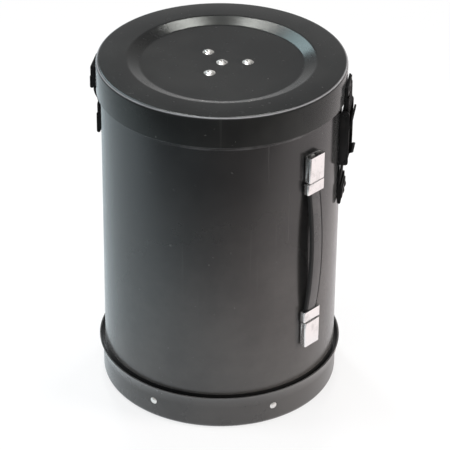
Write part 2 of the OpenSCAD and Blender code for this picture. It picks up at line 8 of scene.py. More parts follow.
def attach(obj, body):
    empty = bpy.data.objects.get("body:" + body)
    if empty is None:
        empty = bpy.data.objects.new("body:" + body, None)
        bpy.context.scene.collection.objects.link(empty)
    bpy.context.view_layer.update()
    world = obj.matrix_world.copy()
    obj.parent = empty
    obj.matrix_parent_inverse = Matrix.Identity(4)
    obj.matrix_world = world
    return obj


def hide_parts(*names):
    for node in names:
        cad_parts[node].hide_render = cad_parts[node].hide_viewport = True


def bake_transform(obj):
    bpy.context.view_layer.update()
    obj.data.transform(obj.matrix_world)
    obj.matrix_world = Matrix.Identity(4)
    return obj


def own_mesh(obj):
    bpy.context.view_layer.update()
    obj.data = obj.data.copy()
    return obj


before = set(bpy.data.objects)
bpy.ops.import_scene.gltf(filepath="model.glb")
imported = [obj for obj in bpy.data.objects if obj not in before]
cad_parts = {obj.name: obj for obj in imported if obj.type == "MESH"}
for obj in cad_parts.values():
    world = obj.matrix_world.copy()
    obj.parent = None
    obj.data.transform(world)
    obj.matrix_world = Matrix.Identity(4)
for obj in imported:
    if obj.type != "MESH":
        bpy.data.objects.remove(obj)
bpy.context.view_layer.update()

# Studio: the case stands on a sheet of pale paper between soft boxes,
# and a long lens looks down on it from a little above the lid.
scene = bpy.context.scene
scene.view_settings.view_transform = "Standard"
lens_at = Vector((0.3914, -2.4714, 1.7234))
aimed_at = Vector((0.0054, 0.0019, 0.2025))
lens_mm = 189
lens_roll = radians(0.6)
camera = bpy.data.objects.new("camera", bpy.data.cameras.new("camera"))
camera.data.lens = lens_mm
camera.location = lens_at
turn = (aimed_at - lens_at).to_track_quat("-Z", "Y") @ Quaternion((0, 0, 1), lens_roll)
camera.rotation_euler = turn.to_euler()
scene.collection.objects.link(camera)
scene.camera = camera
lid_middle, case_middle = (0, 0, 0.43), (0, 0, 0.25)
strip_l, wing_size = 0.7, (0.8, 1.2)


def soft_box(name, at, aim, size, watts, tint, mirrored=True):
    """A lamp with a cloth front, turned towards the point that it lights.

    One that isn't mirrored leaves no glare on a glossy face.
    """
    lamp = bpy.data.lights.new(name, "AREA")
    lamp.shape = "RECTANGLE"
    lamp.size, lamp.size_y = size
    lamp.energy = watts
    lamp.color = tint
    stand = bpy.data.objects.new(name, lamp)
    stand.location = at
    stand.rotation_euler = (Vector(aim) - Vector(at)).to_track_quat("-Z", "Y").to_euler()
    stand.visible_glossy = mirrored
    scene.collection.objects.link(stand)


soft_box("rear_strip", (0.14, 0.66, 1.9), lid_middle, (0.12, strip_l), 8, (1, 0.97, 0.95))
soft_box("rear_left_strip", (-0.37, 0.68, 1.9), lid_middle, (0.08, strip_l), 8, (1, 0.97, 0.96))
soft_box("rear_window", (-0.84, 1.3, 1.7), lid_middle, (0.45, strip_l), 7, (0.72, 0.93, 1))
soft_box("top_box", (-0.35, -0.4, 2.1), lid_middle, (1.2, 0.5), 14, (0.94, 0.97, 1))
soft_box("left_box", (-1.9, -0.5, 0.9), case_middle, wing_size, 18, (0.86, 0.94, 1), mirrored=False)
soft_box("right_box", (1.9, -0.3, 0.9), case_middle, wing_size, 38, (1, 0.92, 0.87), mirrored=False)


def add_node(tree, kind, sockets=None, **settings):
    """A shader node with its settings made and its sockets set or joined."""
    node = tree.nodes.new("ShaderNode" + kind)
    for name, value in settings.items():
        setattr(node, name, value)
    for name, value in (sockets or {}).items():
        if isinstance(value, bpy.types.NodeSocket):
            tree.links.new(value, node.inputs[name])
        else:
            node.inputs[name].default_value = value
    return node


def worked_out(tree, operation, *values):
    """The result of a sum on two or three values."""
    return add_node(tree, "Math", dict(enumerate(values)), operation=operation).outputs[0]


def blend_colour(tree, share, a, b):
    """Mixes two colours by a share."""
    mix = add_node(tree, "Mix", {0: share, 6: a, 7: b}, data_type="RGBA")
    return mix.outputs[2]


def spread(tree, value, low, high, to_low, to_high):
    """Maps a range of a value on to another range, with soft ends."""
    ramp = add_node(tree, "MapRange", {"Value": value, "From Min": low, "From Max": high,
                                       "To Min": to_low, "To Max": to_high}, interpolation_type="SMOOTHSTEP")
    return ramp.outputs[0]


white = (1, 1, 1, 1)
room_tint, room_light = (0.97, 0.98, 1, 1), 0.35
low_sky, high_sky = 0.1, 0.7
low_sky_light, high_sky_light = 0.58, 0.2
world = bpy.data.worlds.new("studio")
scene.world = world
world.use_nodes = True
tree = world.node_tree
tree.nodes.clear()
ray = add_node(tree, "LightPath")
by_lens = ray.outputs["Is Camera Ray"]
seen = worked_out(tree, "MAXIMUM", by_lens, ray.outputs["Is Glossy Ray"])
seen = worked_out(tree, "MAXIMUM", seen, ray.outputs["Is Transmission Ray"])
room = add_node(tree, "Background", {"Color": room_tint, "Strength": room_light})
way = add_node(tree, "SeparateXYZ", {0: add_node(tree, "TexCoord").outputs["Object"]})
ceiling = spread(tree, way.outputs[2], low_sky, high_sky, low_sky_light, high_sky_light)
backdrop = add_node(tree, "Background", {"Color": white, "Strength": worked_out(tree, "MAXIMUM", ceiling, by_lens)})
either = add_node(tree, "MixShader", {0: seen, 1: room.outputs[0], 2: backdrop.outputs[0]})
add_node(tree, "OutputWorld", {"Surface": either.outputs[0]})

paper_grey = (0.9, 0.9, 0.9, 1)
dim_y, full_y, dim_light = -0.85, -0.2, 0.2
cool_x, warm_x = -0.3, 0.3
cool, warm = (0.8, 0.94, 1, 1), (1, 0.92, 0.92, 1)
shade_r, bare_r = 0.3, 1.2
share_in_shade, share_in_mirror = 0.75, 0.96
paper_r = 5
paper = bpy.data.materials.new("paper")
paper.use_nodes = True
tree = paper.node_tree
tree.nodes.clear()
ray = add_node(tree, "LightPath")
by_lens = ray.outputs["Is Camera Ray"]
place = add_node(tree, "TexCoord").outputs["Object"]
across = add_node(tree, "SeparateXYZ", {0: place})
# In reflections the paper glows dimmer in front of the case, cool to the left and warm to the right: painted light
# on the floor. The lens sees it white.
lit = spread(tree, across.outputs[1], dim_y, full_y, dim_light, 1)
rightward = add_node(tree, "MapRange", {"Value": across.outputs[0], "From Min": cool_x, "From Max": warm_x})
tint = blend_colour(tree, rightward.outputs[0], cool, warm)
mirrored = worked_out(tree, "MAXIMUM", ray.outputs["Is Glossy Ray"], ray.outputs["Is Transmission Ray"])
mirrored = worked_out(tree, "MULTIPLY", mirrored, share_in_mirror)
far = add_node(tree, "VectorMath", {0: place}, operation="LENGTH")
bleached = spread(tree, far.outputs["Value"], shade_r, bare_r, share_in_shade, 1)
share = worked_out(tree, "MULTIPLY_ADD", by_lens, bleached, mirrored)
matt = add_node(tree, "BsdfDiffuse", {"Color": paper_grey})
glow = add_node(tree, "Emission", {"Color": blend_colour(tree, by_lens, tint, white),
                                   "Strength": worked_out(tree, "MAXIMUM", lit, by_lens)})
either = add_node(tree, "MixShader", {0: share, 1: matt.outputs[0], 2: glow.outputs[0]})
add_node(tree, "OutputMaterial", {"Surface": either.outputs[0]})
bm = bmesh.new()
bmesh.ops.create_circle(bm, cap_ends=True, segments=96, radius=paper_r)
mesh = bpy.data.meshes.new("floor")
bm.to_mesh(mesh)
bm.free()
mesh.materials.append(paper)
floor = bpy.data.objects.new("floor", mesh)
scene.collection.objects.link(floor)

# Tube: one sheet of black fibre board rolled up, with its two edges butted at the back.
# The board has a fine pressed grain, and wears to a dull haze with small pale specks.
mm = 0.001
tube_r = 145
tube_wall = 2.6
tube_foot, tube_top = 7.0, 433.4
butt_gap = 0.6


def turned(outline, steps=160, closed=False, start=0, sweep=2 * pi):
    """Spins an outline of (radius, height) corners in mm about Z; a third number rounds that corner."""
    bm = bmesh.new()
    corners = [bm.verts.new((c[0] * mm, 0, c[1] * mm)) for c in outline]
    for a, b in zip(corners, corners[1:] + corners[:closed]):
        bm.edges.new((a, b))
    for corner, c in zip(corners, outline):
        if len(c) > 2:
            bmesh.ops.bevel(bm, geom=[corner], offset=c[2] * mm, offset_type="OFFSET", segments=8,
                            profile=0.5, affect="VERTICES", material=-1)
    bmesh.ops.rotate(bm, verts=bm.verts, cent=(0, 0, 0), matrix=Matrix.Rotation(start, 3, "Z"))
    full = sweep > 2 * pi - 1e-9
    bmesh.ops.spin(bm, geom=bm.verts[:] + bm.edges[:], cent=(0, 0, 0), axis=(0, 0, 1), angle=sweep,
                   steps=steps, use_merge=full)
    bmesh.ops.remove_doubles(bm, verts=bm.verts, dist=1e-6)
    if not full:
        bmesh.ops.holes_fill(bm, edges=[e for e in bm.edges if e.is_boundary])
    bmesh.ops.recalc_face_normals(bm, faces=bm.faces)
    return bm


def piece(name, bm, finish, body, slot, *nodes, crease=35):
    """Makes the mesh an object with smooth shading between its creases, on its body and for its nodes."""
    mesh = bpy.data.meshes.new(name)
    bm.to_mesh(mesh)
    bm.free()
    mesh.shade_smooth()
    mesh.set_sharp_from_angle(angle=radians(crease))
    mesh.materials.append(finish)
    made = bpy.data.objects.new(name, mesh)
    scene.collection.objects.link(made)
    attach(made, body)
    if nodes:
        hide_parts(*nodes)
    return made


def new_finish(name):
    """An empty material with a Principled shader: its tree, its shader and its object coordinates."""
    finish = bpy.data.materials.new(name)
    finish.use_nodes = True
    tree = finish.node_tree
    tree.nodes.clear()
    shader = add_node(tree, "BsdfPrincipled")
    add_node(tree, "OutputMaterial", {"Surface": shader.outputs[0]})
    place = add_node(tree, "TexCoord")
    return finish, tree, shader, place.outputs["Object"]


def fibre_finish(name, wear_and_highlight_bands, rough, gloss, tint, pale_heights, slot_shade_z):
    """Black fibre board with a fine grain, rubs along its length and pale specks.

    The first list gives pale bands, rubbed wear or a painted highlight on the lid's rim: height, reach and least
    radius in m, then the least and most share.
    rough is the least and most roughness, gloss the strength and tint the colour of what it reflects.
    The outer face turns paler lower down, fading out between two heights in m. Faces turned inward,
    and the outer face below a last height, keep none of it: painted shade, as in the slot under the tray's lip.
    """
    deep_black, dull_black = (0.007, 0.0072, 0.0075, 1), (0.012, 0.012, 0.0118, 1)
    pale_low_tone, rub = (0.062, 0.059, 0.056, 1), (0.045, 0.045, 0.044, 1)
    speck, pale_rub_and_highlight = (0.10, 0.10, 0.096, 1), (0.3, 0.3, 0.31, 1)
    soft_step = 0.001
    finish, tree, shader, place = new_finish(name)
    haze = add_node(tree, "TexNoise", {"Vector": place, "Scale": 11, "Detail": 5, "Roughness": 0.6}).outputs["Fac"]
    long_way = add_node(tree, "Mapping", {"Vector": place, "Scale": (150, 150, 5)})
    rubs = add_node(tree, "TexNoise", {"Vector": long_way.outputs[0], "Scale": 1, "Detail": 3})
    dots = add_node(tree, "TexNoise", {"Vector": place, "Scale": 210, "Detail": 1})
    height = add_node(tree, "SeparateXYZ", {0: place}).outputs[2]
    flat = add_node(tree, "VectorMath", {0: place, 1: (1, 1, 0)}, operation="MULTIPLY")
    radius = add_node(tree, "VectorMath", {0: flat.outputs[0]}, operation="LENGTH").outputs["Value"]
    faced = add_node(tree, "VectorTransform", {0: add_node(tree, "NewGeometry").outputs["Normal"]},
                     vector_type="NORMAL", convert_from="WORLD", convert_to="OBJECT")
    outward = add_node(tree, "VectorMath", {0: faced.outputs[0], 1: flat.outputs[0]}, operation="DOT_PRODUCT")
    # Paler lower down on the outer face, fading out between two heights.
    pale_low_share = worked_out(tree, "MULTIPLY", spread(tree, height, *pale_heights, 1, 0), spread(tree, haze, 0.3, 0.75, 0.6, 1))
    # Inward faces, and the outer face below a given height, keep none of the pale tone: painted shade in the slot
    # under the tray's lip.
    pale_low_share = worked_out(tree, "MULTIPLY", pale_low_share, spread(tree, outward.outputs["Value"], -0.05, 0, 0, 1))
    pale_low_share = worked_out(tree, "MULTIPLY", pale_low_share, spread(tree, height, slot_shade_z - soft_step, slot_shade_z, 0, 1))
    colour = blend_colour(tree, spread(tree, haze, 0.35, 0.7, 0, 1), deep_black, dull_black)
    colour = blend_colour(tree, pale_low_share, colour, pale_low_tone)
    colour = blend_colour(tree, spread(tree, rubs.outputs["Fac"], 0.64, 0.76, 0, 0.3), colour, rub)
    colour = blend_colour(tree, spread(tree, dots.outputs["Fac"], 0.77, 0.82, 0, 0.5), colour, speck)
    for edge_z, reach, from_r, least, most in wear_and_highlight_bands:
        off = worked_out(tree, "ABSOLUTE", worked_out(tree, "SUBTRACT", height, edge_z))
        near = worked_out(tree, "MULTIPLY", spread(tree, off, 0, reach, 1, 0),
                          spread(tree, radius, from_r, from_r + soft_step, 0, 1))
        # A band's pale colour is rubbed wear, or a painted highlight where it runs along the lid's rim.
        rubbed_and_highlit = worked_out(tree, "MULTIPLY", near, spread(tree, haze, 0.42, 0.62, least, most))
        colour = blend_colour(tree, rubbed_and_highlit, colour, pale_rub_and_highlight)
    tree.links.new(colour, shader.inputs["Base Color"])
    tree.links.new(spread(tree, haze, 0.3, 0.7, *rough), shader.inputs["Roughness"])
    shader.inputs["Specular IOR Level"].default_value = gloss
    shader.inputs["Specular Tint"].default_value = tint
    shader.inputs["Sheen Weight"].default_value = 0.2
    shader.inputs["Sheen Roughness"].default_value = 0.35
    grain = add_node(tree, "TexVoronoi", {"Vector": place, "Scale": 900, "Smoothness": 0.7}, feature="SMOOTH_F1")
    fine = add_node(tree, "TexNoise", {"Vector": place, "Scale": 420, "Detail": 4})
    relief = worked_out(tree, "ADD", grain.outputs["Distance"], fine.outputs["Fac"])
    bump = add_node(tree, "Bump", {"Height": relief, "Strength": 0.18, "Distance": 0.00012})
    tree.links.new(bump.outputs[0], shader.inputs["Normal"])
    return finish


lid_mark_z, tray_lip_z = 0.3915, 0.049
# Below the tray's lip the tube keeps no pale tone: painted shade in the slot.
tube_fibre = fibre_finish("tube_fibre", wear_and_highlight_bands=[(lid_mark_z, 0.0022, 0, 0.01, 0.2)], rough=(0.17, 0.26), gloss=0.65,
                          tint=white, pale_heights=(0.03, 0.4), slot_shade_z=tray_lip_z)
inner_r = tube_r - tube_wall
half_gap = butt_gap / 2 / tube_r
tube = turned([(inner_r, tube_foot), (tube_r, tube_foot), (tube_r, tube_top, 0.8), (inner_r, tube_top, 0.8)],
              steps=192, closed=True, start=pi / 2 + half_gap, sweep=2 * pi - 2 * half_gap)
piece("tube", tube, tube_fibre, "case", "shell", "shell_tube")
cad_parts["seam_strip"].material_slots[0].material = tube_fibre

# Base tray: pressed from thinner black board, straight over the tube and flared open at its lip, so that a slot
# shows all round; the tube is kept black in it as painted shade.
# Its foot is rounded and rubbed where the case is set down.
tray_r, tray_wall, tray_floor = 147.4, 2.2, 3
lip_r, lip_inner_r, lip_z, lip_rounding = 152.0, 149.7, 47, 0.9
flare_z, flare_inner_z = 38.6, 38.4
tray_fibre = fibre_finish("tray_fibre", wear_and_highlight_bands=[(0.047, 0.002, 0, 0.03, 0.2), (0.003, 0.004, 0, 0.03, 0.2)],
                          rough=(0.24, 0.34), gloss=0.6, tint=white, pale_heights=(0.04, 0.22), slot_shade_z=0)
tray = turned([(0, 0), (tray_r, 0, 6), (tray_r, flare_z, 9.5), (lip_r, lip_z, lip_rounding),
               (lip_inner_r, lip_z, lip_rounding), (tray_r - tray_wall, flare_inner_z, 9),
               (tray_r - tray_wall, tray_floor, 3.8), (0, tray_floor)], steps=192)
piece("tray", tray, tray_fibre, "case", "shell", "base_tray")

# Floor board: a disc of hardboard that lies loose in the tray and carries the load.
# Its pressed face is brown and smooth, with short fibres showing in it.
board, tree, shader, place = new_finish("hardboard")
fibres = add_node(tree, "TexNoise", {"Vector": place, "Scale": 300, "Detail": 6, "Roughness": 0.7})
cloud = add_node(tree, "TexNoise", {"Vector": place, "Scale": 16, "Detail": 3})
brown = blend_colour(tree, cloud.outputs["Fac"], (0.13, 0.062, 0.028, 1), (0.19, 0.098, 0.048, 1))
brown = blend_colour(tree, spread(tree, fibres.outputs["Fac"], 0.4, 0.75, 0, 0.5), brown, (0.27, 0.16, 0.09, 1))
tree.links.new(brown, shader.inputs["Base Color"])
shader.inputs["Roughness"].default_value = 0.62
bump = add_node(tree, "Bump", {"Height": fibres.outputs["Fac"], "Strength": 0.3, "Distance": 0.0003})
tree.links.new(bump.outputs[0], shader.inputs["Normal"])
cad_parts["floor_board"].material_slots[0].material = board

# Lid: pressed from one disc of black board, with a deep skirt, a rounded rim and a dished top.
# The lid is polished, a pale band along the rim's rounding is a painted highlight, and the skirt's lower edge is
# rubbed by handling.
lid_r, lid_wall = 150.3, 2.2
skirt_z, lid_top, dish_z = 396, 436, 429.5
dish_r, dish_floor_r = 113.4, 98.2
rim_rounding, dish_rounding, skirt_rounding = 4, 1.6, 0.6
# The first band paints a highlight along the rim's rounding; the second is wear at the skirt's foot.
lid_fibre = fibre_finish("lid_fibre", wear_and_highlight_bands=[(0.4349, 0.00105, 0.14, 0.75, 1), (0.396, 0.0014, 0, 0.03, 0.2)],
                         rough=(0.17, 0.21), gloss=0.27, tint=(0.93, 1, 0.95, 1), pale_heights=(-0.2, -0.1), slot_shade_z=0)
lid_inner_r, lid_under, dish_under = lid_r - lid_wall, lid_top - lid_wall, dish_z - lid_wall
lid = turned([(0, dish_z), (dish_floor_r, dish_z, dish_rounding), (dish_r, lid_top, dish_rounding),
              (lid_r, lid_top, rim_rounding), (lid_r, skirt_z, skirt_rounding),
              (lid_inner_r, skirt_z, skirt_rounding), (lid_inner_r, lid_under, 2),
              (dish_r, lid_under, dish_rounding), (dish_floor_r, dish_under, dish_rounding), (0, dish_under)],
             steps=192)
piece("lid", lid, lid_fibre, "lid", "shell", "lid_pan")

# Backing plate and washers: zinc-coated steel, where rivets would pull through the board.
# The plate lies under the lid's dish, and the washers inside the tube behind the handle's ends.
backing, tree, shader, place = new_finish("galvanised_plate")
spangle = add_node(tree, "TexVoronoi", {"Vector": place, "Scale": 220})
zinc = blend_colour(tree, spangle.outputs["Distance"], (0.33, 0.34, 0.35, 1), (0.47, 0.48, 0.49, 1))
tree.links.new(zinc, shader.inputs["Base Color"])
tree.links.new(spread(tree, spangle.outputs["Distance"], 0, 1, 0.35, 0.55), shader.inputs["Roughness"])
shader.inputs["Metallic"].default_value = 1
for node in ("lid_backing", "cap_washers"):
    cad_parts[node].material_slots[0].material = backing

# Rivets: nickel-plated steel with domed heads, closed over a plate or washer behind.
# Those of the lid are larger and have a small dimple from the setting punch. The straps' rivets
# are painted black and are set with their plates, further down.
small_rivet, lid_rivet = (9, 1.8, 4), (14, 2.2, 5)


def nickel_finish(name, rough, tint):
    """Nickel plate with hair scratches and a thin, duller bloom in patches."""
    finish, tree, shader, place = new_finish(name)
    bloom = add_node(tree, "TexNoise", {"Vector": place, "Scale": 90, "Detail": 4, "Roughness": 0.6})
    across = add_node(tree, "Mapping", {"Vector": place, "Scale": (2600, 2600, 160)})
    hair = add_node(tree, "TexNoise", {"Vector": across.outputs[0], "Scale": 1, "Detail": 2})
    dull = tuple(c * 0.72 for c in tint)
    plate = blend_colour(tree, spread(tree, bloom.outputs["Fac"], 0.5, 0.75, 0, 0.7), (*tint, 1), (*dull, 1))
    tree.links.new(plate, shader.inputs["Base Color"])
    tree.links.new(spread(tree, bloom.outputs["Fac"], 0.3, 0.7, rough - 0.05, rough + 0.1),
                   shader.inputs["Roughness"])
    shader.inputs["Metallic"].default_value = 1
    bump = add_node(tree, "Bump", {"Height": hair.outputs["Fac"], "Strength": 0.08, "Distance": 0.00005})
    tree.links.new(bump.outputs[0], shader.inputs["Normal"])
    return finish


def rivets(name, nodes, body, finish, slot, places, make, grip, dimple=0):
    """Domed rivets, each at a point on a face, in mm, with the direction out of it.

    make is the head's diameter and height and the shank's diameter, and grip is what they hold together.
    """
    head_d, head_h, shank_d = make
    head_r, shank_r, tail_r, tail_t = head_d / 2, shank_d / 2, shank_d * 0.85, 0.6
    punch_depth = 0.9
    ball = (head_r ** 2 + head_h ** 2) / (2 * head_h)
    brow = head_r - head_h / tan(asin(head_r / ball))
    crown = [(0, head_h), (brow, head_h, brow * 0.98)]
    if dimple:
        crown = [(0, head_h - punch_depth), (dimple, head_h - punch_depth, 0.4), (dimple + 0.5, head_h - 0.1),
                 (brow, head_h, 0.4)]
    outline = crown + [(head_r, 0.15), (head_r - 0.1, 0), (shank_r, 0), (shank_r, -grip), (tail_r, -grip, 0.2),
                       (tail_r, -grip - tail_t, 0.3), (0, -grip - tail_t)]
    one = turned(outline, steps=32)
    shape = bpy.data.meshes.new("rivet")
    one.to_mesh(shape)
    one.free()
    bm = bmesh.new()
    for point, out in places:
        before = set(bm.verts)
        bm.from_mesh(shape)
        fresh = [v for v in bm.verts if v not in before]
        turn = Vector((0, 0, 1)).rotation_difference(Vector(out)).to_matrix()
        bmesh.ops.rotate(bm, verts=fresh, cent=(0, 0, 0), matrix=turn)
        bmesh.ops.translate(bm, verts=fresh, vec=Vector(point) * mm)
    bpy.data.meshes.remove(shape)
    return piece(name, bm, finish, body, slot, *nodes)


def round_case(angle, radius, z, sideways=0):
    """The place on an upright wall at an angle round the case, and its outward direction."""
    out = Vector((cos(radians(angle)), sin(radians(angle)), 0))
    along = Vector((-out.y, out.x, 0))
    return out * radius + along * sideways + Vector((0, 0, z)), out


nickel = nickel_finish("rivet_nickel", 0.26, (0.82, 0.8, 0.77))
tray_rivet_z, tray_rivet_turn = 24, 6
rivets("tray_rivets", ["base_rivets"], "case", nickel, "rivets",
       [round_case(tray_rivet_turn + 60 * i, tray_r, tray_rivet_z) for i in range(6)], small_rivet, 5.1)
seam_angle, seam_foot, seam_step = 90, 68, 51.1667
rivets("joint_rivets", ["seam_rivets"], "case", nickel, "rivets",
       [round_case(seam_angle, tube_r, seam_foot + seam_step * i) for i in range(7)], small_rivet, 4.8)
up = Vector((0, 0, 1))
ring_r, ring_turn = 31, 11
ring = [Vector((0, 0, dish_z))] + [round_case(ring_turn + 120 * i, ring_r, dish_z)[0] for i in range(3)]
rivets("dish_rivets", ["lid_rivets"], "lid", nickel, "rivets", [(point, up) for point in ring], lid_rivet, 4.2,
       dimple=1.75)
handle_angle, handle_z = -34, 231
cap_back, cap_middle, cap_rivet_reach = 1.2, 119.25, 7
rivets("cap_fixings", ["cap_rivets"], "case", nickel, "rivets",
       [round_case(handle_angle, tube_r + cap_back, handle_z + end * (cap_middle + reach))
        for end in (-1, 1) for reach in (-cap_rivet_reach, cap_rivet_reach)], small_rivet, 5.1)

# Handle ends: caps and ferrules bent from nickel-plated sheet, tumbled so that every edge is broken.
# The ferrules tilt on pins across the caps' mouths when the grip is pulled out.
bright = nickel_finish("handle_nickel", 0.2, (0.93, 0.92, 0.91))


def eased(name, node, body, finish, slot, width):
    """A copy of a formed piece with its sharp edges broken, to a width in mm."""
    least = 35
    bm = bmesh.new()
    bm.from_mesh(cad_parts[node].data)
    bmesh.ops.remove_doubles(bm, verts=bm.verts, dist=2e-6)
    bmesh.ops.dissolve_limit(bm, angle_limit=radians(0.5), verts=bm.verts, edges=bm.edges)
    sharp = [e for e in bm.edges if e.is_manifold and e.calc_face_angle() > radians(least)]
    bmesh.ops.bevel(bm, geom=sharp, offset=width * mm, offset_type="OFFSET", segments=2, profile=0.5,
                    affect="EDGES", clamp_overlap=True, material=-1)
    return piece(name, bm, finish, body, slot, node)


for name, node, body in (("upper_cap_shell", "upper_cap", "case"), ("lower_cap_shell", "lower_cap", "case"),
                         ("upper_collar", "upper_ferrule", "upper_ferrule"),
                         ("lower_collar", "lower_ferrule", "lower_ferrule")):
    eased(name, node, body, bright, "nickel", 0.3)
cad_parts["handle_pins"].material_slots[0].material = bright

# Spring strip: a band of bare steel that runs through the grip from one ferrule to the other.
# It carries the load of the case, and bends as the grip is pulled out.
strip, tree, shader, place = new_finish("spring_strip")
mill = add_node(tree, "TexNoise", {"Vector": place, "Scale": 500, "Detail": 3})
tree.links.new(blend_colour(tree, mill.outputs["Fac"], (0.3, 0.3, 0.31, 1), (0.42, 0.42, 0.43, 1)),
               shader.inputs["Base Color"])
tree.links.new(spread(tree, mill.outputs["Fac"], 0.3, 0.7, 0.3, 0.45), shader.inputs["Roughness"])
shader.inputs["Metallic"].default_value = 1
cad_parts["handle_core"].material_slots[0].material = strip

# Grip: black plastic moulded round a steel strip, bowed a little away from the tube.
# Its front is crowned and polished by use, and a matt border runs along each edge, coloured near black as painted
# shade.
grip_half, grip_w, grip_t, grip_bow = 81.3, 20, 6, 6.5
grip_border, border_drop, border_step = 3.2, 0.75, 0.2
back_rounding = 2.2
pin_out = 5.0
grip_black, tree, shader, place = new_finish("grip_plastic")
dents = add_node(tree, "TexNoise", {"Vector": place, "Scale": 60, "Detail": 4})
pores = add_node(tree, "TexVoronoi", {"Vector": place, "Scale": 1300})
sideways = (-sin(radians(handle_angle)), cos(radians(handle_angle)), 0)
off = add_node(tree, "VectorMath", {0: place, 1: sideways}, operation="DOT_PRODUCT")
border_from = (grip_w / 2 - grip_border) * mm
matt_shaded_border = spread(tree, worked_out(tree, "ABSOLUTE", off.outputs["Value"]), border_from - border_step * mm,
                border_from + border_step * mm, 0, 1)
# The border's near-black colour paints the shade along the grip's edges; the front is lighter.
polished, thumbed, edge_shade_black = (0.036, 0.036, 0.037, 1), (0.052, 0.051, 0.051, 1), (0.006, 0.006, 0.006, 1)
front = blend_colour(tree, spread(tree, dents.outputs["Fac"], 0.4, 0.7, 0, 1), polished, thumbed)
tree.links.new(blend_colour(tree, matt_shaded_border, front, edge_shade_black), shader.inputs["Base Color"])
shader.inputs["Specular IOR Level"].default_value = 0.8
polish = spread(tree, dents.outputs["Fac"], 0.3, 0.7, 0.24, 0.36)
polish = add_node(tree, "Mix", {0: matt_shaded_border, 2: polish, 3: 0.8})
tree.links.new(polish.outputs[0], shader.inputs["Roughness"])
bump = add_node(tree, "Bump", {"Height": pores.outputs["Distance"], "Strength": 0.15, "Distance": 0.0001})
tree.links.new(bump.outputs[0], shader.inputs["Normal"])
bow_r = (grip_half ** 2 + grip_bow ** 2) / (2 * grip_bow)
span = asin(grip_half / bow_r)
bm = bmesh.new()
half_w, half_t = grip_w / 2, grip_t / 2
edge = [(half_t - 1.1, half_w, 1.2), (half_t - border_drop, half_w - grip_border, 0.3),
        (half_t - border_drop + border_step, half_w - grip_border - 0.3, 0.2), (half_t - 0.15, half_w - 6.5, 2)]
section = ([(-half_t, -half_w, back_rounding), (-half_t, half_w, back_rounding)] + edge + [(half_t, 0, 3)]
           + [(u, -w, rounding) for u, w, rounding in reversed(edge)])
corners = [bm.verts.new((u * mm, w * mm, 0)) for u, w, _ in section]
bm.faces.new(corners)
for corner, (_, _, rounding) in zip(corners, section):
    bmesh.ops.bevel(bm, geom=[corner], offset=rounding * mm, offset_type="OFFSET", segments=4, profile=0.5,
                    affect="VERTICES", material=-1)
middle = Vector(((tube_r + pin_out + grip_bow - bow_r) * mm, 0, 0))
bmesh.ops.translate(bm, verts=bm.verts, vec=middle + Vector((bow_r * mm, 0, 0)))
bmesh.ops.rotate(bm, verts=bm.verts, cent=middle, matrix=Matrix.Rotation(span, 3, "Y"))
bmesh.ops.spin(bm, geom=bm.verts[:] + bm.edges[:] + bm.faces[:], cent=middle, axis=(0, -1, 0), angle=2 * span,
               steps=40, use_merge=False)
bmesh.ops.recalc_face_normals(bm, faces=bm.faces)
bmesh.ops.translate(bm, verts=bm.verts, vec=(0, 0, handle_z * mm))
bmesh.ops.rotate(bm, verts=bm.verts, cent=(0, 0, 0), matrix=Matrix.Rotation(radians(handle_angle), 3, "Z"))
piece("grip_moulding", bm, grip_black, "grip", "grip", "handle_grip", crease=60)

# Webbing: a woven black strap, doubled and sewn where it is riveted down or carries a buckle.
# One length is the hinge, one carries the buckle from the lid, and one comes up to it from the tube.
web_w, web_t = 38, 2.2
webbing, tree, shader, place = new_finish("webbing")
cloth = add_node(tree, "UVMap", uv_map="weave")
yarn_l, yarn_w, yarn_gap = 0.0011, 0.0009, 0.00014
warp = add_node(tree, "TexBrick", {"Vector": cloth.outputs[0], "Color1": white, "Color2": (0.75, 0.75, 0.75, 1),
                                   "Mortar": (0, 0, 0, 1), "Scale": 1, "Mortar Size": yarn_gap,
                                   "Mortar Smooth": 0.9, "Brick Width": yarn_l, "Row Height": yarn_w},
                offset=0.5, offset_frequency=2)
fuzz = add_node(tree, "TexNoise", {"Vector": place, "Scale": 900, "Detail": 3})
fade = add_node(tree, "TexNoise", {"Vector": place, "Scale": 45, "Detail": 4})
hollow, yarn, faded = (0.001, 0.001, 0.001, 1), (0.013, 0.013, 0.0135, 1), (0.02, 0.0195, 0.019, 1)
colour = blend_colour(tree, warp.outputs["Color"], hollow, yarn)
colour = blend_colour(tree, spread(tree, fade.outputs["Fac"], 0.5, 0.75, 0, 0.5), colour, faded)
tree.links.new(colour, shader.inputs["Base Color"])
tree.links.new(spread(tree, fuzz.outputs["Fac"], 0.3, 0.7, 0.7, 0.9), shader.inputs["Roughness"])
shader.inputs["Specular IOR Level"].default_value = 0.15
bump = add_node(tree, "Bump", {"Height": warp.outputs["Color"], "Strength": 1, "Distance": 0.0003})
tree.links.new(bump.outputs[0], shader.inputs["Normal"])


def soft_piece(name, bm, finish):
    """Makes the mesh a smooth object with its finish, which is still to be given its body."""
    mesh = bpy.data.meshes.new(name)
    bm.to_mesh(mesh)
    bm.free()
    mesh.shade_smooth()
    mesh.materials.append(finish)
    made = bpy.data.objects.new(name, mesh)
    scene.collection.objects.link(made)
    return made


